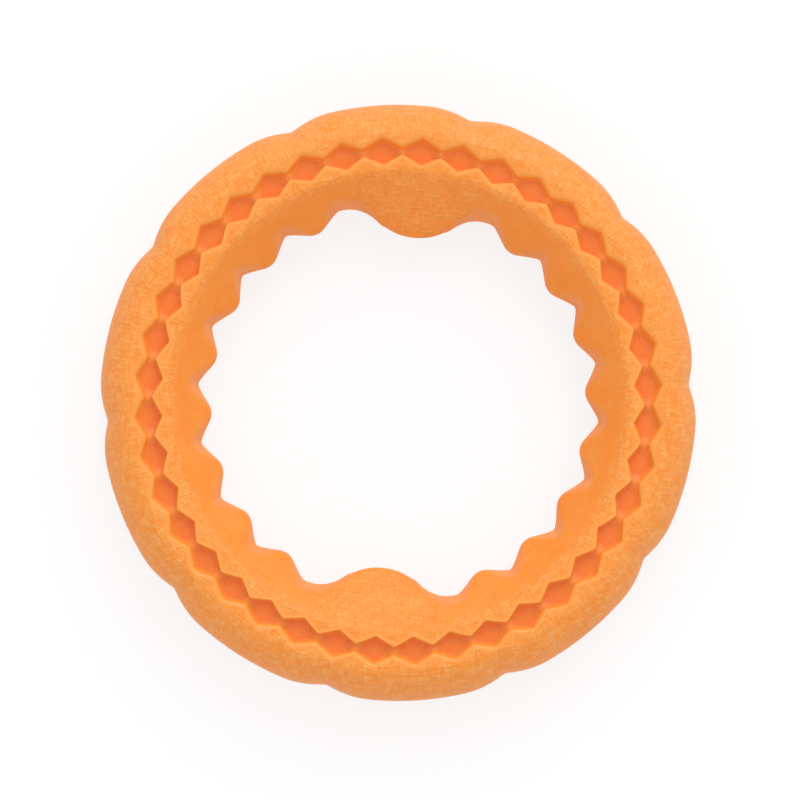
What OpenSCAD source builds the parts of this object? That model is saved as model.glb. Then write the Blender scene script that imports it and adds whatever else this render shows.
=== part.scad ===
// Fetch and chew ring: a foam core hoop between an outer and an inner moulded tread.
// The ring lies flat, its axis along +Z, with the origin at the centre of its lower face.
// The grip pads are on +Y and -Y. The upper and lower faces are alike.

/* [Core ring] */
// Radius of the ring's middle line, which the zigzag groove follows
groove_r = 84; // [80:0.5:92]
// Width of the core hoop across its section
core_w = 16; // [13:0.5:17]
// Thickness of the core hoop along the ring's axis
core_t = 22.4; // [18:0.2:28]

/* [Zigzag groove] */
// Number of diamonds round the ring
diamond_count = 40; // [20:2:60]
// Width of the groove at the middle of a diamond
diamond_w = 9.2; // [5:0.2:10]
// Width of the groove at the neck between two diamonds
neck_w = 2.2; // [1:0.1:4]
// Thickness of the lips over the core, which is the groove's depth
lip_t = 3.8; // [2:0.1:6]

/* [Outer tread] */
// Reach of the lobes beyond the middle line
outer_reach = 16; // [14:0.5:24]
// Flat width between a diamond's outer corner and the start of the flank
outer_land_w = 0.9; // [0.5:0.1:1.3]
// Number of lobes round the outside
lobe_count = 10; // [6:1:14]
// Depth of the notch between two lobes
notch_depth = 2.6; // [1:0.1:4]
// Radius of the rounded shoulders that run down into a notch
shoulder_r = 31; // [22:1:40]
// Half the height of the upright band round the outside
rim_half_h = 1.6; // [0.5:0.1:4]
// Roundness of the outer flank: 2 is an ellipse, less is flatter
flank_power = 1.65; // [1.4:0.05:2.5]

/* [Inner tread] */
// Reach of the tooth tips inside the middle line
tooth_reach = 21.2; // [19:0.1:24]
// Depth of the valley between two teeth
tooth_depth = 4.8; // [3:0.1:6]
// Number of teeth in each of the two runs
teeth_per_run = 8; // [6:1:10]
// Angle between the two flanks of a valley, in degrees
valley_angle = 114; // [105:1:130]
// Draft of the valley walls from the mid-plane to either face, in degrees
valley_draft = 20; // [10:1:28]
// Flat width between a diamond's inner corner and the brow
inner_land_w = 0.8; // [0.4:0.1:1.4]
// Radius of the rounded brow where the land turns into the inner cone
brow_r = 4; // [2:0.25:6]
// Half the height of the blunt edge at the mid-plane
edge_half_h = 0.8; // [0.4:0.1:2]

/* [Grip pads] */
// Reach of the pad noses inside the middle line
pad_reach = 28.4; // [25:0.1:32]
// Radius of the rounded pad nose, seen along the axis
nose_r = 21; // [15:0.5:22]
// Angle from a pad's middle to the first valley beside it, in degrees
pad_half_angle = 22.5; // [21:0.5:26]
// Radius of the hollow between a pad and the first tooth
hollow_r = 12.4; // [9:0.2:13]
// Slope of the pad's face from the mid-plane, in degrees
pad_slope = 32; // [28:0.5:32]

/* [Hidden] */

$fn = 180;
arc_steps = 8;
overrun = 2;
// The shoulders reach this share of the notch's depth past the lobes, so that they cross them cleanly
shoulder_over_share = 0.04;
// The hollows stop this share of a tooth's depth short of the valley roots, which blunts the root
root_blunt_share = 0.06;

half_t = core_t / 2 + lip_t;
core_in_r = groove_r - core_w / 2;
core_out_r = groove_r + core_w / 2;
lobe_r = groove_r + outer_reach;
outer_land_r = groove_r + diamond_w / 2 + outer_land_w;
inner_land_r = groove_r - diamond_w / 2 - inner_land_w;
tip_r = groove_r - tooth_reach;
valley_r = tip_r + tooth_depth;
hollow_centre_r = valley_r - root_blunt_share * tooth_depth - hollow_r;
pad_r = groove_r - pad_reach;
tooth_pitch = (180 - 2 * pad_half_angle) / teeth_per_run;

// Points on an arc about a centre, from one angle to another
function arc(centre, r, from, to) =
    [for (i = [0:arc_steps]) let (a = from + (to - from) * i / arc_steps) centre + r * [cos(a), sin(a)]];

// A section's upper half followed by its mirror image below the mid-plane
function both_halves(upper) =
    concat(upper, [for (i = [len(upper) - 1:-1:0]) [upper[i][0], -upper[i][1]]]);

// Slope of the straight line that rises from the blunt edge at radius r and touches the brow
function cone_slope(r) =
    let (reach = inner_land_r - r, rise = half_t - brow_r - edge_half_h)
    atan2(rise, reach) + asin(brow_r / norm([reach, rise]));

// Closed zigzag with its corners at two radii, one diamond's corner on +X
function zigzag(neck, corner) =
    [for (i = [0:2 * diamond_count - 1])
        let (a = i * 180 / diamond_count, r = i % 2 == 0 ? corner : neck) r * [cos(a), sin(a)]];

// Outer flank from the land down to the upright band, a quarter of a superellipse
function flank_points() =
    [for (i = [0:2 * arc_steps]) let (a = 90 * i / (2 * arc_steps))
        [outer_land_r + (lobe_r - outer_land_r) * pow(sin(a), 2 / flank_power),
         rim_half_h + (half_t - rim_half_h) * pow(cos(a), 2 / flank_power)]];

// Centred on the mid-plane, raised so that the lower face lies at zero
module raise() {
    translate([0, 0, half_t]) children();
}

module on_both_faces() {
    children();
    mirror([0, 0, 1]) children();
}

module on_both_sides() {
    children();
    rotate(180) children();
}

// A plan shape cut through both lips, clear of the core
module through_lips() {
    on_both_faces() translate([0, 0, core_t / 2])
        linear_extrude(lip_t + overrun) children();
}

module core_ring() {
    color([0.93, 0.47, 0.21]) raise()
        rotate_extrude() translate([core_in_r, -core_t / 2]) square([core_w, core_t]);
}

module outer_section() {
    polygon(both_halves(concat(
        [[core_out_r, 0], [core_out_r, core_t / 2], [groove_r, core_t / 2], [groove_r, half_t]],
        flank_points())));
}

// Plan outline of the notch between two lobes on +X: what two rounded shoulders leave free
module notch_outline() {
    bottom_r = lobe_r - notch_depth;
    far_r = lobe_r + overrun;
    centre_r = lobe_r + notch_depth * shoulder_over_share - shoulder_r;
    // The angle at which a shoulder's arc passes through the bottom of the notch
    a = acos((pow(bottom_r, 2) + pow(centre_r, 2) - pow(shoulder_r, 2)) / (2 * bottom_r * centre_r));
    difference() {
        polygon([bottom_r * [cos(a), -sin(a)], far_r * [cos(a), -sin(a)],
                 far_r * [cos(a), sin(a)], bottom_r * [cos(a), sin(a)]]);
        for (side = [-1, 1]) rotate(side * a) translate([centre_r, 0]) circle(r = shoulder_r);
    }
}

module outer_tread() {
    color([0.96, 0.63, 0.35]) raise() difference() {
        rotate_extrude() outer_section();
        through_lips() polygon(zigzag(groove_r + neck_w / 2, groove_r + diamond_w / 2));
        // A quarter of a lobe off the pads, where each notch meets a diamond
        for (i = [0:lobe_count - 1]) rotate(90 + (i - 1 / 4) * 360 / lobe_count)
            translate([0, 0, -half_t - overrun]) linear_extrude(2 * (half_t + overrun)) notch_outline();
    }
}

module inner_section() {
    slope = cone_slope(tip_r);
    brow = arc([inner_land_r, half_t - brow_r], brow_r, 90 + slope, 90);
    polygon(both_halves(concat([[tip_r, edge_half_h]], brow,
        [[groove_r, half_t], [groove_r, core_t / 2], [core_in_r, core_t / 2]])));
}

// Drafted V between two teeth, its root at the valley radius on +Y in the mid-plane
module valley_cut() {
    reach = tooth_depth + overrun;
    // The prism leans by the draft, which stretches its plan outline, so the V is drawn shorter
    half_w = reach * tan(valley_angle / 2) / cos(valley_draft);
    on_both_faces() translate([0, valley_r, 0]) rotate([-valley_draft, 0, 0])
        translate([0, 0, -half_t]) linear_extrude(3 * half_t)
        polygon([[0, 0], [-half_w, -reach], [half_w, -reach]]);
}

// Drafted hollow between a pad on +Y and the first tooth beside it on the +X side
module hollow_cut() {
    h = half_t + overrun;
    rotate(-pad_half_angle) intersection() {
        translate([0, hollow_centre_r, 0]) rotate_extrude()
            polygon([[0, -h], [hollow_r + h * tan(valley_draft), -h], [hollow_r, 0],
                     [hollow_r + h * tan(valley_draft), h], [0, h]]);
        translate([-2 * hollow_r, hollow_centre_r, -h]) cube([2 * hollow_r, 2 * hollow_r, 2 * h]);
    }
}

// Seen along the axis, a pad on +Y widens from its nose to the middles of the hollows beside it,
// and its root ends inside the ring
module pad_outline() {
    hollow_x = hollow_centre_r * sin(pad_half_angle);
    hollow_y = hollow_centre_r * cos(pad_half_angle);
    polygon([[0, pad_r + nose_r], [hollow_x, hollow_y], [hollow_x + overrun, core_in_r],
             [-hollow_x - overrun, core_in_r], [-hollow_x, hollow_y]]);
}

// Pad on +Y: a drafted round nose and its root, between two faces that slope down to a blunt edge
module pad_body() {
    root_h = edge_half_h + (core_in_r - pad_r) * tan(pad_slope);
    intersection() {
        rotate([90, 0, 90]) translate([0, 0, -core_in_r]) linear_extrude(2 * core_in_r)
            polygon([[pad_r, -edge_half_h], [core_in_r, -root_h], [core_in_r, root_h], [pad_r, edge_half_h]]);
        union() {
            translate([0, pad_r + nose_r, 0]) rotate_extrude()
                polygon([[0, -half_t], [nose_r - half_t * tan(valley_draft), -half_t], [nose_r, 0],
                         [nose_r - half_t * tan(valley_draft), half_t], [0, half_t]]);
            translate([0, 0, -half_t]) linear_extrude(2 * half_t) pad_outline();
        }
    }
}

module inner_tread() {
    color([0.95, 0.57, 0.28]) raise() difference() {
        union() {
            rotate_extrude() inner_section();
            on_both_sides() pad_body();
        }
        // Room for the core hoop and for the lips of the zigzag groove
        rotate_extrude() translate([core_in_r, -core_t / 2]) square([core_w, core_t]);
        through_lips() difference() {
            circle(r = groove_r + overrun);
            polygon(zigzag(groove_r - neck_w / 2, groove_r - diamond_w / 2));
        }
        on_both_sides() {
            for (i = [0:teeth_per_run]) rotate(-pad_half_angle - i * tooth_pitch) valley_cut();
            hollow_cut();
            mirror([1, 0, 0]) hollow_cut();
        }
    }
}

core_ring();
outer_tread();
inner_tread();
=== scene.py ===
import math
from collections import namedtuple

import bpy
import numpy as np
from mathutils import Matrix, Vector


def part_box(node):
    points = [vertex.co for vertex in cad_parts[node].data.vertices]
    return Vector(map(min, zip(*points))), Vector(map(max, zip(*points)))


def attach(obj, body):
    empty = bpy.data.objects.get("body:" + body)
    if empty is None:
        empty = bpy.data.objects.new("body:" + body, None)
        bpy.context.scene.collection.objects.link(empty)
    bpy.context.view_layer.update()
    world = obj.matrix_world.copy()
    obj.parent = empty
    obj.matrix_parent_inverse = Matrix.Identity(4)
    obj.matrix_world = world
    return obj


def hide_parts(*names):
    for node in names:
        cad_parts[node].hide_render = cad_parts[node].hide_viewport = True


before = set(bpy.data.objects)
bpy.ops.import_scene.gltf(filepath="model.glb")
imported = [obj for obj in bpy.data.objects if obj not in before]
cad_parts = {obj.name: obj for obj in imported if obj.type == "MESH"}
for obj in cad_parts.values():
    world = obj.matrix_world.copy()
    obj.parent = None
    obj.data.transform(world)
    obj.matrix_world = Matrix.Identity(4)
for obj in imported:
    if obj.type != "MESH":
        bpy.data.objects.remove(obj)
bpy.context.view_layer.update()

# A ring to fetch and chew, of three pieces of foam. Each piece is a mesh of circular rows round its section,
# and its finish is made of shader nodes.
# Lengths are millimetres in the part's frame, and MM turns them into Blender's metres.
# Places round the ring are degrees from +X, and other angles are radians.
MM = 0.001

# Sizes that the frame gives
_, outer_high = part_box("outer_tread")
core_low, core_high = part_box("core_ring")
HALF_T = outer_high[2] / MM / 2
CORE_HALF_T = (core_high[2] - core_low[2]) / MM / 2
CORE_OUT_R = core_high[0] / MM

# The ring's middle line with the zigzag groove, and the core hoop below it
GROOVE_R = 84.0
CORE_IN_R = 2 * GROOVE_R - CORE_OUT_R
CORE_ROUND = 0.4
DIAMONDS = 40
DIAMOND_PITCH = 360 / DIAMONDS
DIAMOND_W = 9.2
NECK_W = 2.2
ZIGZAG_SOFT = 0.35

# Lips of the groove: the side of the middle line, the radius of the rounded edge, the wall's draft and its
# setback, and how far from the wall the weave begins and the smooth band beside the groove, paler with a
# painted highlight, ends
Lip = namedtuple("Lip", "side edge_r draft setback weave_start band_end")
OUTER_LIP = Lip(1, 1.7, math.radians(20), -0.45, (0.8, 2.0), (0.5, 2.2))
INNER_LIP = Lip(-1, 0.45, math.radians(4), 0.15, (0.5, 1.6), (0.4, 2.0))
# Foot of a lip's wall: its fillet, its height over the core, and the gap that stays between two pieces
FOOT_FILLET = 0.35
FOOT_STEP = 0.2
FOOT_GAP = 0.03

# A low web crosses the groove at each neck: its height and the fillet under the outer lip there
WEB_RISE = 0.9
WEB_FILLET = 0.8
# Degrees from a neck up to which the web is highest, at which it is down at the lips' feet, and at which
# it ends
WEB_TOP, WEB_FOOT, WEB_END = 0.1, 1.9, 2.3
# The web has the core's colour of painted shade, less this share at the middle of the neck, painted lighter
# there
WEB_PALER = 0.5

# Outer tread
LOBE_R = 100.0
LOBES = 10
NOTCH_PLACE = 9.0
NOTCH_R = 97.4
NOTCH_SOFT = math.radians(0.5)
SHOULDER_R = 31.0
OUTER_LAND_R = 89.5
RIM_HALF_H = 1.6
FLANK_POWER = 1.65

# Inner tread
INNER_LAND_R = 78.6
BROW_R = 4.0
TIP_R = 62.8
VALLEY_R = 67.6
VALLEY_ANGLE = math.radians(114)
VALLEY_DRAFT = math.radians(20)
# Softness of the tips and valleys, and the shifts that bring them back to their radii
TIP_SOFT, VALLEY_SOFT = 0.95, 0.85
TIP_SHIFT, VALLEY_SHIFT = -0.25, 0.2
EDGE_HALF_H = 0.8
EDGE_SOFT = 1.3

# Grip pads, with the runs of teeth between them
PAD_PLACE = 90
PAD_R = 55.6
NOSE_R = 20.0
HOLLOW_R = 12.0
HOLLOW_TOP_R = 67.3
PAD_HALF_ANGLE = 22.5
TEETH = 8
TOOTH_PITCH = (180 - 2 * PAD_HALF_ANGLE) / TEETH
# Degrees from a pad's middle between which its nose turns into the hollow beside it
NOSE_END, HOLLOW_START = 9.5, 14.0

# Columns round the ring, which meet every tooth, diamond and lobe
COLUMNS = 960
PLACES = np.arange(COLUMNS) * 360 / COLUMNS
# Numbers of rows in the parts of a section
FLANK_ROWS, OUTER_LAND_ROWS = 25, 4
LIP_EDGE_ROWS, LIP_FILLET_ROWS, WEB_ROWS = 6, 5, 4
LIP_WALL_SHARES = 0.33, 0.67, 1.0
CORE_EDGE_ROWS, CORE_FACE_ROWS = 5, 10
# The row at the upper edge of the rim's upright band lies at this share of its half height
RIM_ROW_SHARE = 0.6
# Rows of the inner face: distances from its edge, dense on the drafted walls, and then shares of the rest
EDGE_STEPS = 0, 0.06, 0.2, 0.4, 0.65, 0.95, 1.3, 1.7, 2.1, 2.5, 2.9, 3.3, 3.8, 4.4, 5.1
CONE_SHARES = 0.08, 0.16, 0.24, 0.32, 0.4, 0.48, 0.56, 0.64, 0.71, 0.78, 0.84, 0.89, 0.93, 0.965, 1
# Points of the fine section and outline on which lengths and distances are measured, and how many degrees
# either way the nearest point of the outline is looked for
SECTION_POINTS = 400
OUTLINE_POINTS = 7200
OUTLINE_REACH = 7.0
# Edges that turn by more than this are shaded sharp
SHARP_ANGLE = math.radians(55)

# Camera, as the photograph is taken
PHOTO_SIZE = 800
RING_CENTRE_PX = (398.3, 402.8)
MM_PER_PX = 0.3353
RING_TURN = math.radians(-5.42)
CAMERA_AWAY = 9000.0
CAMERA_TILT = math.radians(2.5)
CAMERA_CLIP = 10.0, 20000.0
SENSOR = 36.0

# Light: an even room and one wide soft lamp, which together light a level face at LIGHT_LEVEL
LIGHT_LEVEL = 1.05
AMBIENT = 0.84
SUN_TILT = math.radians(52)
SUN_FROM = math.radians(170)
SUN_WIDTH = math.radians(45)

# Background: where it is seen it is white, and the floor keeps part of the ring's shadow
WHITE = (1, 1, 1, 1)
WHITE_LEVEL = 1.0
FLOOR_GREY = (0.8, 0.8, 0.8, 1)
FLOOR_WHITE_SHARE = 0.8
FLOOR_HALF = 1500.0
FLOOR_DROP = 0.1

# Foam
ROUGHNESS = 0.42
IOR = 1.45
SPECULAR = 0.6
# How far red, green and blue light spread inside the foam, and the share of the light that does
SCATTER_RADIUS = (1.0, 0.5, 0.3)
SCATTER_SCALE = 1.2
SCATTER_SHARE = 0.15

# Colours: each finish changes between a pale and a deep one in patches
SMOOTH_COLOURS = (0.96, 0.32, 0.04), (0.96, 0.27, 0.015)
WOVEN_COLOURS = (0.96, 0.312, 0.037), (0.95, 0.26, 0.012)
# The core's colours are deeper and redder than the treads': painted shade on the floor of the groove
CORE_SHADE_COLOURS = (0.90, 0.235, 0.02), (0.90, 0.205, 0.015)
# Colours of the pale flecks, a painted highlight on the raised threads that also gives the slubs uneven
# colour, of the smooth band beside the groove, paler as a painted highlight, and of the painted shade at the
# foot of its walls
FLECK_HIGHLIGHT_COLOUR = (1.0, 0.48, 0.13)
LIP_HIGHLIGHT_COLOUR = (0.97, 0.39, 0.075)
WALL_SHADE_COLOUR = (0.98, 0.30, 0.035)
# Share of the painted highlight colour that the smooth band has at the edge of the groove
LIP_HIGHLIGHT_SHARE = 0.7
# Shares of the groove's depth between which a wall takes on the painted shade of its foot
WALL_SHADE_FADE = 0.4, 1.0

# Noises, each with the size of its features, in threads for the slubs, and its detail
PORE_NOISE = 0.35, 3.0
PATCH_NOISE = 7.0, 4.0
MOTTLE_NOISE = 0.9, 2.0
WANDER_NOISE = 4.0, 1.0
WEAR_NOISE = 1.6, 1.0
SLUB_NOISE = 1.0, 1.0
# Depth of the pores, and how strongly patches and mottles change the colour
PORE_H = 0.1
PATCH_TONE = 2.2
MOTTLE_TONE = 2.6

# Weave: the thread spacing, and the threads round the ring, which are even in number so that they close
THREAD = 1.5
OUTER_THREADS, INNER_THREADS = 384, 328
# Shape of a thread: its roundness, how sharply and how far it dips under another, and the ground between
THREAD_ROUND = 1.3
CROSSING = 0.25
DIP = 0.45
GROUND_LEVEL = 0.3
# How many threads' width the weave wanders, and the least that wear leaves of it, over a range of its noise
WEAVE_WANDER = 1.8
WEAVE_LEAST = 0.1
WEAR_RANGE = -0.15, 0.15
# Slubs are uneven threads: noise steps in a thread's width, across a slub and along it
SLUB_ACROSS, SLUB_ALONG = 0.95, 0.36
# Heights of weave and slubs, how much of the pale fleck colour each brings (a painted highlight on the
# raised threads, and uneven colour along the slubs), and what every woven place has of it
WEAVE_H, SLUB_H = 0.25, 0.2
WEAVE_HIGHLIGHT_TONE, SLUB_TONE = 0.64, 1.0
FLECK_HIGHLIGHT_LEAST = 0.04
# Shares of the pale fleck colour on the pads and at the rim, and the distances from the rim in which it
# grows; less of it toward the rim is painted shade, where the flank turns away from the light
PAD_HIGHLIGHT_TONE = 0.65
RIM_SHADE_TONE = 0.45
RIM_SHADE_FADE = 3.0, 11.0

# Where the inner tread is woven: beyond the teeth by radius, on the pads by degrees from their middle, and
# above the drafted walls by height. On the pads the weave is straight, out to a distance along X.
FACE_WEAVE = 73.5, 76.5
PAD_WEAVE = 15, 21
WALL_WEAVE = -0.4, 1.2
PAD_STRAIGHT = 21.0, 29.0
# Share of a drop that counts in the distance over the inner face
DROP_SHARE = 0.4
# A row as low as the core still lies on the outside when it is farther than this beside the core's pocket
POCKET_CLEAR = 1.0


def soft_abs(x, soft):
    return np.sqrt(x * x + soft * soft)


def soft_max(a, b, soft):
    return 0.5 * (a + b + np.sqrt((a - b) ** 2 + soft * soft))


def soft_min(a, b, soft):
    return 0.5 * (a + b - np.sqrt((a - b) ** 2 + soft * soft))


def smooth_step(x, low, high):
    t = np.clip((x - low) / (high - low), 0, 1)
    return t * t * (3 - 2 * t)


def from_nearest(place, start, pitch):
    """Signed degrees from the nearest of the places start + k * pitch."""
    return (place - start + pitch / 2) % pitch - pitch / 2


def from_pad(place):
    """Degrees from the middle of the nearer grip pad, from 0 to 90."""
    return np.abs(from_nearest(place, PAD_PLACE, 180))


def zigzag(place, corner, neck):
    """Radius of one side of the groove, with soft corners."""
    half_span = math.radians(DIAMOND_PITCH / 2) * GROOVE_R
    along = np.radians(from_nearest(place, 0, DIAMOND_PITCH)) * GROOVE_R
    fall = soft_abs(along, ZIGZAG_SOFT) - ZIGZAG_SOFT
    fall = soft_min(fall, 2 * half_span - ZIGZAG_SOFT - soft_abs(along, ZIGZAG_SOFT), ZIGZAG_SOFT)
    return corner + (neck - corner) * np.clip(fall / half_span, 0, 1)


def rim_radius(place):
    """Outline of the lobes: two round shoulders run down into each notch."""
    off = np.radians(np.abs(from_nearest(place, NOTCH_PLACE, 360 / LOBES)))
    centre_r = LOBE_R - SHOULDER_R
    cos_a = (NOTCH_R ** 2 + centre_r ** 2 - SHOULDER_R ** 2) / (2 * NOTCH_R * centre_r)
    off = soft_abs(off, NOTCH_SOFT) - NOTCH_SOFT / 4
    beta = np.clip(math.acos(cos_a) - off, 0, None)
    return centre_r * np.cos(beta) + np.sqrt(SHOULDER_R ** 2 - (centre_r * np.sin(beta)) ** 2)


def tooth_radius(off):
    """Outline of the teeth, by the degrees from the middle of a valley."""
    along = np.radians(off) * VALLEY_R
    flank = VALLEY_R + VALLEY_SHIFT - soft_abs(along, VALLEY_SOFT) / math.tan(VALLEY_ANGLE / 2)
    return soft_max(flank, TIP_R + TIP_SHIFT, TIP_SOFT)


def pad_radius(off):
    """Outline of a grip pad and half of the hollow beside it, by the degrees from its middle."""
    a = np.radians(off)
    nose_centre = PAD_R + NOSE_R
    nose = nose_centre * np.cos(a) - np.sqrt(np.clip(NOSE_R ** 2 - (nose_centre * np.sin(a)) ** 2, 0, None))
    b = np.radians(PAD_HALF_ANGLE) - a
    hollow_centre = HOLLOW_TOP_R - HOLLOW_R
    hollow = hollow_centre * np.cos(b)
    hollow = hollow + np.sqrt(np.clip(HOLLOW_R ** 2 - (hollow_centre * np.sin(b)) ** 2, 0, None))
    share = smooth_step(off, NOSE_END, HOLLOW_START)
    return nose * (1 - share) + hollow * share


def inner_radius(place):
    """Outline of the inside at the mid-plane: two pads and two runs of teeth."""
    off = from_pad(place)
    teeth = tooth_radius(from_nearest(off, PAD_HALF_ANGLE, TOOTH_PITCH))
    return np.where(off < PAD_HALF_ANGLE, pad_radius(off), teeth)


def foot_radius(place):
    """Radius at which the inner cone would reach the blunt edge: less at the pads."""
    off = np.clip(from_pad(place) / PAD_HALF_ANGLE, 0, 1)
    return PAD_R + (TIP_R - PAD_R) * np.sin(off * math.pi / 2) ** 2


def inner_height(r, foot):
    """Upper face of the inner tread over the mid-plane, from the land over the brow down the cone."""
    brow_z = HALF_T - BROW_R
    reach, rise = INNER_LAND_R - foot, brow_z - EDGE_HALF_H
    slope = np.arctan2(rise, reach) + np.arcsin(BROW_R / np.hypot(reach, rise))
    cone = EDGE_HALF_H + (r - foot) * np.tan(slope)
    brow = brow_z + np.sqrt(np.clip(BROW_R ** 2 - np.clip(INNER_LAND_R - r, 0, BROW_R) ** 2, 0, None))
    return np.where(r < INNER_LAND_R - BROW_R * np.sin(slope), cone, brow)


def outer_height(r, rim):
    """Upper face of the outer tread: the land, then a quarter of a superellipse down to the rim."""
    share = np.clip((r - OUTER_LAND_R) / (rim - OUTER_LAND_R), 0, 1)
    return RIM_HALF_H + (HALF_T - RIM_HALF_H) * (1 - share ** FLANK_POWER) ** (1 / FLANK_POWER)


def distance_to_inside(r):
    """Least distance in plan from each point at a column's place to the outline of the inside."""
    place = np.arange(OUTLINE_POINTS) * (360 / OUTLINE_POINTS)
    edge = inner_radius(place)
    x, y = edge * np.cos(np.radians(place)), edge * np.sin(np.radians(place))
    own_x, own_y = r * np.cos(np.radians(PLACES)), r * np.sin(np.radians(PLACES))
    nearest = np.round(PLACES / 360 * OUTLINE_POINTS).astype(int)
    span = int(OUTLINE_POINTS * OUTLINE_REACH / 360)
    best = np.full(r.shape, np.inf)
    for step in range(-span, span + 1):
        k = (nearest + step) % OUTLINE_POINTS
        best = np.minimum(best, np.hypot(own_x - x[k], own_y - y[k]))
    return best


def level(value):
    """A row with the same value at every column."""
    return np.full(COLUMNS, float(value))


def neck_share(full_to, none_from):
    """1 at a neck between two diamonds up to full_to degrees beside it, and 0 from none_from on."""
    off = np.abs(from_nearest(PLACES, DIAMOND_PITCH / 2, DIAMOND_PITCH))
    return 1 - smooth_step(off, full_to, none_from)


def groove_wall(lip):
    """Radius of a lip's wall, and the cosine of its slope against the circle."""
    wall = zigzag(PLACES, GROOVE_R + lip.side * DIAMOND_W / 2, GROOVE_R + lip.side * NECK_W / 2)
    wall = wall + lip.side * lip.setback
    return wall, np.cos(np.arctan(np.gradient(wall) / (np.radians(360 / COLUMNS) * GROOVE_R)))


def lip_rows(lip, top, neck_fillet):
    """Rows of a lip: its round upper edge, its drafted wall and the fillet at its foot."""
    wall_r, slope_cos = groove_wall(lip)
    at_neck = neck_share(WEB_TOP, WEB_FOOT)
    fillet = FOOT_FILLET + (neck_fillet - FOOT_FILLET) * at_neck
    foot_z = CORE_HALF_T + FOOT_GAP + FOOT_STEP + WEB_RISE * at_neck
    draft_degrees = math.degrees(lip.draft)
    rows_r, rows_z = [], []
    for turn in np.radians(np.linspace(0, 90 - draft_degrees, LIP_EDGE_ROWS + 1)[1:]):
        edge_r = wall_r + lip.side * lip.edge_r * (1 - math.sin(turn)) / slope_cos
        rows_r.append(edge_r)
        rows_z.append(top(edge_r) - lip.edge_r * (1 - math.cos(turn)))
    start_r, start_z = rows_r[-1], rows_z[-1]
    end_z = foot_z + fillet * (1 - math.sin(lip.draft))
    for share in LIP_WALL_SHARES:
        wall_z = start_z + (end_z - start_z) * share
        rows_r.append(start_r - lip.side * (start_z - wall_z) * math.tan(lip.draft) / slope_cos)
        rows_z.append(wall_z)
    end_r = rows_r[-1]
    for turn in np.radians(np.linspace(draft_degrees, 90, LIP_FILLET_ROWS + 1)[1:]):
        rows_r.append(end_r - lip.side * fillet * (math.cos(lip.draft) - math.cos(turn)) / slope_cos)
        rows_z.append(foot_z + fillet * (1 - math.sin(turn)))
    return rows_r, rows_z


def both_faces(upper, sign=1):
    """Rows of the upper half, from the mid-plane to the pocket, then of the lower half back again."""
    return np.concatenate([upper, sign * upper[:0:-1]])


def past_middle(upper):
    """The same for a distance over the face, which runs on past the mid-plane."""
    return np.concatenate([upper, 2 * upper[0] - upper[:0:-1]])


def skin_values(lip, r, z, across, woven, face_rows):
    """What a skin's shader reads: distance over the face, and shares of weave, of the painted highlight
    beside the groove, and of depth for the painted shade on the walls.
    """
    wall, slope_cos = groove_wall(lip)
    clear = lip.side * (r - wall) * slope_cos
    beside_core = lip.side * (r - GROOVE_R) > CORE_OUT_R - GROOVE_R + POCKET_CLEAR
    outside = (z > CORE_HALF_T + 2 * FOOT_GAP) | beside_core
    depth = np.clip((HALF_T - z) / (HALF_T - CORE_HALF_T), 0, 1)
    depth[:face_rows] = 0
    return {"across": past_middle(across),
            "woven": both_faces(woven * smooth_step(clear, *lip.weave_start) * outside),
            "lip": both_faces(1 - smooth_step(clear, *lip.band_end)),
            "sunk": both_faces(depth)}


def ring_mesh(name, r, z, values, turned=False):
    """Closed ring of circular rows, from r and z of its upper half and the shader's values of all rows.

    A ring whose rows run outwards, from the hole to the groove, is turned, so that its faces look out.
    """
    step = -1 if turned else 1
    r, z = both_faces(r)[::step].T, both_faces(z, -1)[::step].T
    columns, rows = r.shape
    a = np.radians(PLACES)[:, None]
    points = np.stack([r * np.cos(a), r * np.sin(a), z + HALF_T], -1).reshape(-1, 3) * MM
    i, j = np.meshgrid(np.arange(columns), np.arange(rows), indexing="ij")
    i2, j2 = (i + 1) % columns, (j + 1) % rows
    faces = np.stack([i * rows + j, i2 * rows + j, i2 * rows + j2, i * rows + j2], -1).reshape(-1, 4)
    mesh = bpy.data.meshes.new(name)
    mesh.from_pydata(points.tolist(), [], faces.tolist())
    for key, value in values.items():
        layer = mesh.attributes.new(key, "FLOAT", "POINT")
        layer.data.foreach_set("value", np.ascontiguousarray(value[::step].T, np.float32).ravel())
    mesh.validate()
    mesh.shade_smooth()
    mesh.set_sharp_from_angle(angle=SHARP_ANGLE)
    piece = bpy.data.objects.new(name, mesh)
    bpy.context.scene.collection.objects.link(piece)
    return piece


def core_ring():
    turns = np.radians(np.linspace(0, 90, CORE_EDGE_ROWS))
    edge_r = CORE_ROUND * (1 - np.cos(turns))
    edge_z = CORE_HALF_T - CORE_ROUND * (1 - np.sin(turns))
    face_r = np.linspace(CORE_OUT_R - CORE_ROUND, CORE_IN_R + CORE_ROUND, CORE_FACE_ROWS + 2)[1:-1]
    section_r = [CORE_OUT_R, *(CORE_OUT_R - edge_r), *face_r, *(CORE_IN_R + edge_r[::-1])]
    section_z = [0, *edge_z, *[CORE_HALF_T] * len(face_r), *edge_z[::-1]]
    r, z = (np.stack([level(value) for value in section]) for section in (section_r, section_z))
    return ring_mesh("core_ring_hoop", r, z, {})


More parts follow.
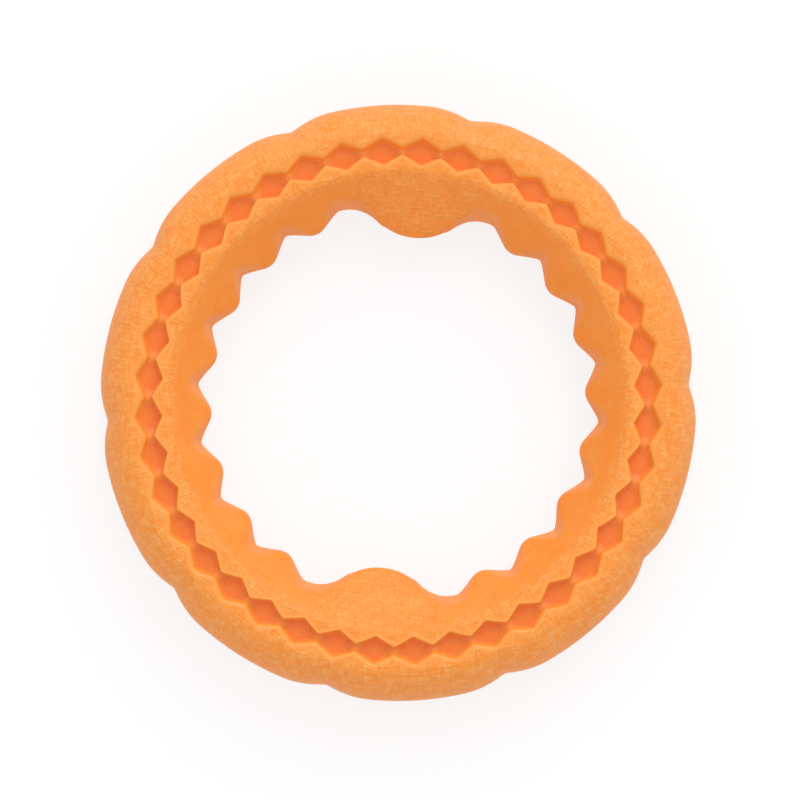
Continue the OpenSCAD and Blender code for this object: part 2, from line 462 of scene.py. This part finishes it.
def outer_tread():
    rim = rim_radius(PLACES)
    wall, slope_cos = groove_wall(OUTER_LIP)
    start = wall + OUTER_LIP.edge_r / slope_cos
    mean_start = float(np.mean(start))

    def top(r):
        return outer_height(r, rim)

    # The mean section, finely, and the length over it from the rim
    turn = np.linspace(0, math.pi / 2, SECTION_POINTS)
    section_r = OUTER_LAND_R + (LOBE_R - OUTER_LAND_R) * np.cos(turn) ** (2 / FLANK_POWER)
    section_z = HALF_T * np.sin(turn) ** (2 / FLANK_POWER)
    length = np.concatenate([[0], np.cumsum(np.hypot(np.diff(section_r), np.diff(section_z)))])

    # Rows of the upright rim, even steps along the flank, and rows of the land
    rows_r = [rim, rim]
    rows_z = [level(0), level(RIM_HALF_H * RIM_ROW_SHARE)]
    flank_r = np.interp(np.linspace(0, length[-1], FLANK_ROWS + 1)[:-1], length, section_r)
    for mean_r in [*flank_r, *np.linspace(OUTER_LAND_R, mean_start, OUTER_LAND_ROWS)]:
        share = (mean_r - mean_start) / (LOBE_R - mean_start)
        rows_r.append(start + (rim - start) * share)
        rows_z.append(top(rows_r[-1]))
    face_rows = len(rows_r)

    # The webs reach across to the foot of the inner lip, which lies under its level land
    lip_r, lip_z = lip_rows(OUTER_LIP, top, WEB_FILLET)
    across_r = lip_rows(INNER_LIP, lambda r: level(HALF_T), FOOT_FILLET)[0][-1]
    web = neck_share(WEB_FOOT, WEB_END)
    web_r = lip_r[-1] - FOOT_GAP - (lip_r[-1] - across_r - 3 * FOOT_GAP) * web
    pocket_z = level(CORE_HALF_T + FOOT_GAP)
    r = np.stack([*rows_r, *lip_r, web_r, web_r, level(CORE_OUT_R + FOOT_GAP)])
    z = np.stack([*rows_z, *lip_z, lip_z[-1], pocket_z, pocket_z])

    across = np.interp(-r / rim * LOBE_R, -section_r, length) + np.clip(OUTER_LAND_R - r, 0, None)
    values = skin_values(OUTER_LIP, r, z, across, np.ones_like(r), face_rows)
    # The web takes the core's painted-shade colour, painted lighter at the middle of each neck
    floor = np.zeros_like(r)
    floor[-WEB_ROWS:] = web * (1 - WEB_PALER * neck_share(WEB_TOP, WEB_FOOT))
    values["floor"] = both_faces(floor)
    return ring_mesh("outer_tread_skin", r, z, values)


def inner_tread():
    foot = foot_radius(PLACES)
    wall, slope_cos = groove_wall(INNER_LIP)
    start = wall - INNER_LIP.edge_r / slope_cos

    def top(r):
        return inner_height(r, foot)

    rows_r = [inner_radius(PLACES) + step for step in EDGE_STEPS]
    last = rows_r[-1]
    face_r = np.stack(rows_r + [last + (start - last) * share for share in CONE_SHARES])
    # The drafted walls rise from the first row, and they run into the plain face more softly farther up
    distance = distance_to_inside(face_r)
    distance[0] = 0
    plain_z, draft_z = top(face_r), distance / math.tan(VALLEY_DRAFT)
    face_z = soft_min(plain_z, draft_z, EDGE_SOFT * draft_z / (draft_z + 1))

    lip_r, lip_z = lip_rows(INNER_LIP, top, FOOT_FILLET)
    pocket_z = level(CORE_HALF_T + FOOT_GAP)
    r = np.stack([*face_r, *lip_r, lip_r[-1], level(CORE_IN_R - FOOT_GAP)])
    z = np.stack([*face_z, *lip_z, pocket_z, pocket_z])

    across = INNER_LAND_R - r + np.clip(HALF_T - z, 0, None) * DROP_SHARE
    woven = np.maximum(smooth_step(r, *FACE_WEAVE), 1 - smooth_step(from_pad(PLACES), *PAD_WEAVE))
    woven[:len(face_r)] *= smooth_step(draft_z - plain_z, *WALL_WEAVE)
    values = skin_values(INNER_LIP, r, z, across, woven, len(face_r))
    return ring_mesh("inner_tread_skin", r, z, values, turned=True)


def make_camera():
    data = bpy.data.cameras.new("camera")
    camera = bpy.data.objects.new("camera", data)
    bpy.context.scene.collection.objects.link(camera)
    data.sensor_width = SENSOR
    data.lens = SENSOR * CAMERA_AWAY / (PHOTO_SIZE * MM_PER_PX)
    data.clip_start, data.clip_end = (distance * MM for distance in CAMERA_CLIP)
    data.shift_x = (PHOTO_SIZE / 2 - RING_CENTRE_PX[0]) / PHOTO_SIZE
    data.shift_y = (RING_CENTRE_PX[1] - PHOTO_SIZE / 2) / PHOTO_SIZE
    aside = CAMERA_AWAY * math.sin(CAMERA_TILT)
    place = (-aside * math.sin(RING_TURN), -aside * math.cos(RING_TURN),
             CAMERA_AWAY * math.cos(CAMERA_TILT) + HALF_T)
    camera.location = [value * MM for value in place]
    camera.rotation_euler = (CAMERA_TILT, 0, -RING_TURN)
    bpy.context.scene.camera = camera


class Term:
    """A value in a shader's node tree, so that its formula can be written as one."""

    def __init__(self, tree, socket):
        self.tree, self.socket = tree, socket

    def math(self, operation, *others):
        return math_node(self.tree, operation, self, *others)

    def __add__(self, other):
        return self.math("ADD", other)

    def __sub__(self, other):
        return self.math("SUBTRACT", other)

    def __mul__(self, other):
        return self.math("MULTIPLY", other)

    def __rsub__(self, other):
        return math_node(self.tree, "SUBTRACT", other, self)

    __radd__, __rmul__ = __add__, __mul__


def put(value, socket, tree):
    """Link a term or socket to a socket, or set it to a plain number or colour."""
    if isinstance(value, Term):
        value = value.socket
    if isinstance(value, bpy.types.NodeSocket):
        tree.links.new(value, socket)
    elif isinstance(value, tuple):
        socket.default_value = (*value, 1)
    else:
        socket.default_value = value


def new_node(tree, kind, **inputs):
    """Shader node with some of its inputs set."""
    node = tree.nodes.new("ShaderNode" + kind)
    for name, value in inputs.items():
        node.inputs[name].default_value = value
    return node


def math_node(tree, operation, *values):
    node = new_node(tree, "Math")
    node.operation = operation
    for value, socket in zip(values, node.inputs):
        put(value, socket, tree)
    return Term(tree, node.outputs[0])


def mapped(value, from_range, to_low=0, to_high=1):
    """Smooth step of a term over a range."""
    node = new_node(value.tree, "MapRange")
    node.interpolation_type = "SMOOTHSTEP"
    limits = {"From Min": from_range[0], "From Max": from_range[1], "To Min": to_low, "To Max": to_high}
    for name, number in limits.items():
        node.inputs[name].default_value = number
    put(value, node.inputs["Value"], value.tree)
    return Term(value.tree, node.outputs["Result"])


def noise(tree, place, size, detail, unit=MM):
    """Smooth noise about zero, its features about size units across."""
    node = new_node(tree, "TexNoise", Scale=1 / (size * unit), Detail=detail)
    tree.links.new(place, node.inputs["Vector"])
    return Term(tree, node.outputs["Fac"]) - 0.5


def mix_colour(tree, share, first, second):
    node = new_node(tree, "Mix")
    node.data_type = "RGBA"
    # For colours the node's inputs are the first, the seventh and the eighth, and its output the third
    for value, index in ((share, 0), (first, 6), (second, 7)):
        put(value, node.inputs[index], tree)
    return node.outputs[2]


def mix_shaders(tree, share, first, second):
    node = new_node(tree, "MixShader")
    for value, socket in zip((share, first.outputs[0], second.outputs[0]), node.inputs):
        put(value, socket, tree)
    return node


def attribute(tree, name):
    node = new_node(tree, "Attribute")
    node.attribute_name = name
    return Term(tree, node.outputs["Fac"])


def ray_sees(tree):
    """1 for the rays that see a background itself: camera, glossy and transmission rays."""
    path = new_node(tree, "LightPath")
    seen = math_node(tree, "MAXIMUM", path.outputs["Is Camera Ray"], path.outputs["Is Glossy Ray"])
    return seen.math("MAXIMUM", path.outputs["Is Transmission Ray"])


def make_lights():
    world = bpy.data.worlds.new("studio")
    bpy.context.scene.world = world
    world.use_nodes = True
    tree = world.node_tree
    tree.nodes.clear()
    room = new_node(tree, "Background", Color=WHITE, Strength=AMBIENT)
    backdrop = new_node(tree, "Background", Color=WHITE, Strength=WHITE_LEVEL)
    out = new_node(tree, "OutputWorld")
    tree.links.new(mix_shaders(tree, ray_sees(tree), room, backdrop).outputs[0], out.inputs["Surface"])
    lamp = bpy.data.lights.new("soft_light", "SUN")
    lamp.energy = (LIGHT_LEVEL - AMBIENT) / math.cos(SUN_TILT) * math.pi
    lamp.angle = SUN_WIDTH
    sun = bpy.data.objects.new("soft_light", lamp)
    sun.rotation_euler = (SUN_TILT, 0, SUN_FROM)
    bpy.context.scene.collection.objects.link(sun)


def make_floor():
    half = FLOOR_HALF * MM
    mesh = bpy.data.meshes.new("floor")
    corners = [(-half, -half, 0), (half, -half, 0), (half, half, 0), (-half, half, 0)]
    mesh.from_pydata(corners, [], [(0, 1, 2, 3)])
    floor = bpy.data.objects.new("floor", mesh)
    bpy.context.scene.collection.objects.link(floor)
    floor.location = (0, 0, -FLOOR_DROP * MM)
    material = bpy.data.materials.new("pale_floor")
    material.use_nodes = True
    tree = material.node_tree
    tree.nodes.clear()
    plain = new_node(tree, "BsdfDiffuse", Color=FLOOR_GREY)
    shaded = new_node(tree, "BsdfDiffuse", Color=WHITE)
    white = new_node(tree, "Emission", Color=WHITE, Strength=WHITE_LEVEL)
    seen = mix_shaders(tree, FLOOR_WHITE_SHARE, shaded, white)
    out = new_node(tree, "OutputMaterial")
    tree.links.new(mix_shaders(tree, ray_sees(tree), plain, seen).outputs[0], out.inputs["Surface"])
    mesh.materials.append(material)


def plain_weave(u, v):
    """Height of a plain weave from 0 to 1; each whole step of u or v is one thread."""
    wave_u, wave_v = (u * math.pi).math("SINE"), (v * math.pi).math("SINE")
    over = mapped(wave_u * wave_v, (-CROSSING, CROSSING))
    warp = wave_u.math("ABSOLUTE").math("POWER", THREAD_ROUND) * (1 - DIP + DIP * over)
    weft = wave_v.math("ABSOLUTE").math("POWER", THREAD_ROUND) * (1 - DIP * over)
    return warp.math("MAXIMUM", weft)


def slubs(u, v):
    """Uneven threads, about zero: streaks along the threads of both directions."""
    tree = u.tree
    total = 0
    for steps_u, steps_v in ((SLUB_ACROSS, SLUB_ALONG), (SLUB_ALONG, SLUB_ACROSS)):
        place = new_node(tree, "CombineXYZ")
        put(u * steps_u, place.inputs[0], tree)
        put(v * steps_v, place.inputs[1], tree)
        total = noise(tree, place.outputs[0], *SLUB_NOISE, unit=1) + total
    return total


def woven_skin(tree, place, patch, smooth, threads, pads):
    """Colour of a skin that is woven in places, and the height of its weave."""
    axes = new_node(tree, "SeparateXYZ")
    tree.links.new(place, axes.inputs[0])
    x, y = Term(tree, axes.outputs[0]), Term(tree, axes.outputs[1])
    woven, across = attribute(tree, "woven"), attribute(tree, "across")
    wander = noise(tree, place, *WANDER_NOISE) * WEAVE_WANDER
    round_ring = y.math("ARCTAN2", x) * (threads / (2 * math.pi)) + wander
    weave = plain_weave(round_ring, across * (1 / THREAD) - wander)
    if pads:
        straight = plain_weave(x * (1 / (THREAD * MM)) + wander, y * (1 / (THREAD * MM)) - wander)
        beside = mapped(x.math("ABSOLUTE"), [distance * MM for distance in PAD_STRAIGHT])
        weave = weave * beside + straight * (1 - beside)
        highlight_share = PAD_HIGHLIGHT_TONE + (1 - PAD_HIGHLIGHT_TONE) * beside
    else:
        # Less of the painted highlight toward the rim: painted shade where the flank turns from the light
        highlight_share = mapped(across.math("ABSOLUTE"), RIM_SHADE_FADE, RIM_SHADE_TONE, 1)
    wear = mapped(noise(tree, place, *WEAR_NOISE), WEAR_RANGE, WEAVE_LEAST, 1)
    weave = (weave.math("MAXIMUM", GROUND_LEVEL) - GROUND_LEVEL) * wear
    slub = slubs(round_ring, across * (1 / THREAD))
    height = (weave * WEAVE_H + slub * SLUB_H) * woven
    # Pale flecks: a painted highlight on the raised threads, and uneven colour along the slubs
    fleck_highlight = (weave * WEAVE_HIGHLIGHT_TONE + slub * SLUB_TONE + FLECK_HIGHLIGHT_LEAST) * woven * highlight_share
    # A wall turns deeper and redder towards its foot: painted shade down the groove
    wall = mapped(attribute(tree, "sunk"), WALL_SHADE_FADE)
    colour = mix_colour(tree, woven, smooth, mix_colour(tree, patch, WOVEN_COLOURS[1], WOVEN_COLOURS[0]))
    colour = mix_colour(tree, fleck_highlight, colour, FLECK_HIGHLIGHT_COLOUR)
    # Paler smooth band beside the groove: a painted highlight along the lips' edges
    colour = mix_colour(tree, attribute(tree, "lip") * LIP_HIGHLIGHT_SHARE, colour, LIP_HIGHLIGHT_COLOUR)
    colour = mix_colour(tree, wall, colour, WALL_SHADE_COLOUR)
    # The core's deeper colour on the web: painted shade of the groove's floor
    shaded_core = mix_colour(tree, patch, CORE_SHADE_COLOURS[1], CORE_SHADE_COLOURS[0])
    return mix_colour(tree, attribute(tree, "floor"), colour, shaded_core), height


def foam_material(name, colours, threads=0, pads=False, scatter=SCATTER_SHARE):
    """Matt foamed rubber; threads is the number of threads round the ring in its woven places."""
    material = bpy.data.materials.new(name)
    material.use_nodes = True
    tree = material.node_tree
    shader = tree.nodes["Principled BSDF"]
    shader.inputs["Roughness"].default_value = ROUGHNESS
    shader.inputs["IOR"].default_value = IOR
    shader.inputs["Specular IOR Level"].default_value = SPECULAR
    shader.inputs["Subsurface Weight"].default_value = scatter
    shader.inputs["Subsurface Radius"].default_value = SCATTER_RADIUS
    shader.inputs["Subsurface Scale"].default_value = SCATTER_SCALE * MM
    place = new_node(tree, "TexCoord").outputs["Object"]
    patch = noise(tree, place, *PATCH_NOISE) * PATCH_TONE + 0.5
    patch = patch + noise(tree, place, *MOTTLE_NOISE) * MOTTLE_TONE
    colour = mix_colour(tree, patch, colours[1], colours[0])
    height = noise(tree, place, *PORE_NOISE) * PORE_H
    if threads:
        colour, weave_height = woven_skin(tree, place, patch, colour, threads, pads)
        height = height + weave_height
    tree.links.new(colour, shader.inputs["Base Color"])
    bump = new_node(tree, "Bump", Strength=1.0, Distance=MM)
    put(height, bump.inputs["Height"], tree)
    tree.links.new(bump.outputs["Normal"], shader.inputs["Normal"])
    return material


bpy.context.scene.view_settings.view_transform = "Standard"
make_camera()
make_lights()
make_floor()

finishes = (
    (core_ring, "core_ring", "core_foam", {"colours": CORE_SHADE_COLOURS, "scatter": 0.0}),
    (outer_tread, "outer_tread", "outer_skin", {"colours": WOVEN_COLOURS, "threads": OUTER_THREADS}),
    (inner_tread, "inner_tread", "inner_skin",
     {"colours": SMOOTH_COLOURS, "threads": INNER_THREADS, "pads": True}),
)
for make_piece, node, slot, finish in finishes:
    piece = make_piece()
    piece.data.materials.append(foam_material(slot, **finish))
    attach(piece, "root")
    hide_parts(node)
